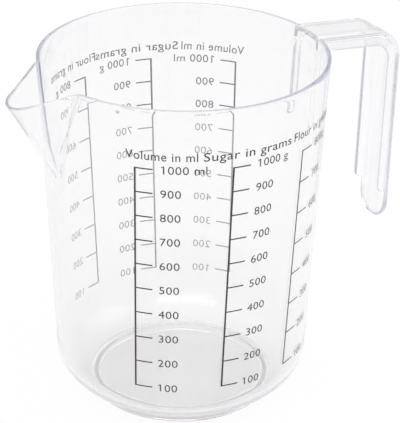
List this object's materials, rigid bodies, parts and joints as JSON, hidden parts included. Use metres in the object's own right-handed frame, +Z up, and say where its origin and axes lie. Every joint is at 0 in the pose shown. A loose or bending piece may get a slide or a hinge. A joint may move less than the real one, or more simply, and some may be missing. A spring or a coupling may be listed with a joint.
{
  "type": "measuring jug",
  "caption": "Clear plastic measuring jug with a conical body, a keeled pouring spout, a hooked channel handle and printed scales for volume, sugar and flour.",
  "frame": {"origin": "centre of the foot ring's resting face", "axes": "+Z up along the vessel's axis, +X towards the handle, -X towards the spout, so +Y is on the right hand of someone who holds the handle with the spout pointing away"},
  "size_m": [0.174, 0.1174, 0.149],
  "materials": {
    "clear_plastic": "clear, colourless, polished moulding",
    "dark_ink": "thin screen-printed ink, satin"
  },
  "bodies": {
    "root": {"vessel_wall": "clear_plastic", "vessel_base": "clear_plastic", "foot_ring": "clear_plastic", "rim": "clear_plastic", "pouring_spout": "clear_plastic", "handle_strap": "clear_plastic", "handle_flange_left": "clear_plastic", "handle_flange_right": "clear_plastic", "handle_rib_left": "clear_plastic", "handle_rib_right": "clear_plastic", "volume_scale_front": "dark_ink", "sugar_scale_front": "dark_ink", "flour_scale_front": "dark_ink", "volume_scale_back": "dark_ink", "sugar_scale_back": "dark_ink", "flour_scale_back": "dark_ink"}
  },
  "joints": []
}
